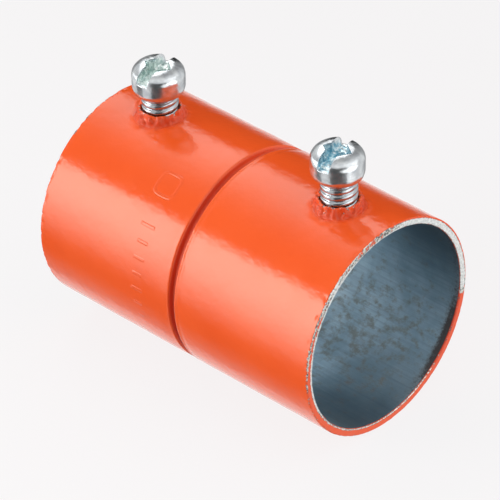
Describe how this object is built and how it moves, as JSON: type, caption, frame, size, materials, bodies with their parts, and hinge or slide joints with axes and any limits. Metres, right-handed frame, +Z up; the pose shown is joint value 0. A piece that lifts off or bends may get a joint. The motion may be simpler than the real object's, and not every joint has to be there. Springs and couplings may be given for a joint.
{
  "type": "set-screw conduit coupling",
  "caption": "Painted steel sleeve that joins two conduits end to end, with a rolled stop at its middle and a clamping set screw near each end.",
  "frame": {"origin": "at the lowest line of the sleeve's outside, under the middle of its length, with the screws pointing up", "axes": "+X along the sleeve towards its right socket, +Z up along the screws, +Y across the sleeve"},
  "size_m": [0.05, 0.0322, 0.0413],
  "materials": {
    "orange_paint": "gloss enamel over zinc-plated steel, bare on the cut ends and in the bore",
    "zinc_plate": "bright zinc plate"
  },
  "bodies": {
    "sleeve": {"coupling_sleeve": "orange_paint"},
    "left_screw": {"left_set_screw": "zinc_plate"},
    "right_screw": {"right_set_screw": "zinc_plate"}
  },
  "joints": [
    {"name": "left_screw_travel", "type": "slide", "parent": "sleeve", "child": "left_screw", "axis": [0, 0, 1], "range_m": [-0.0019, 0.0035]},
    {"name": "right_screw_travel", "type": "slide", "parent": "sleeve", "child": "right_screw", "axis": [0, 0, 1], "range_m": [-0.0029, 0.0025]}
  ]
}
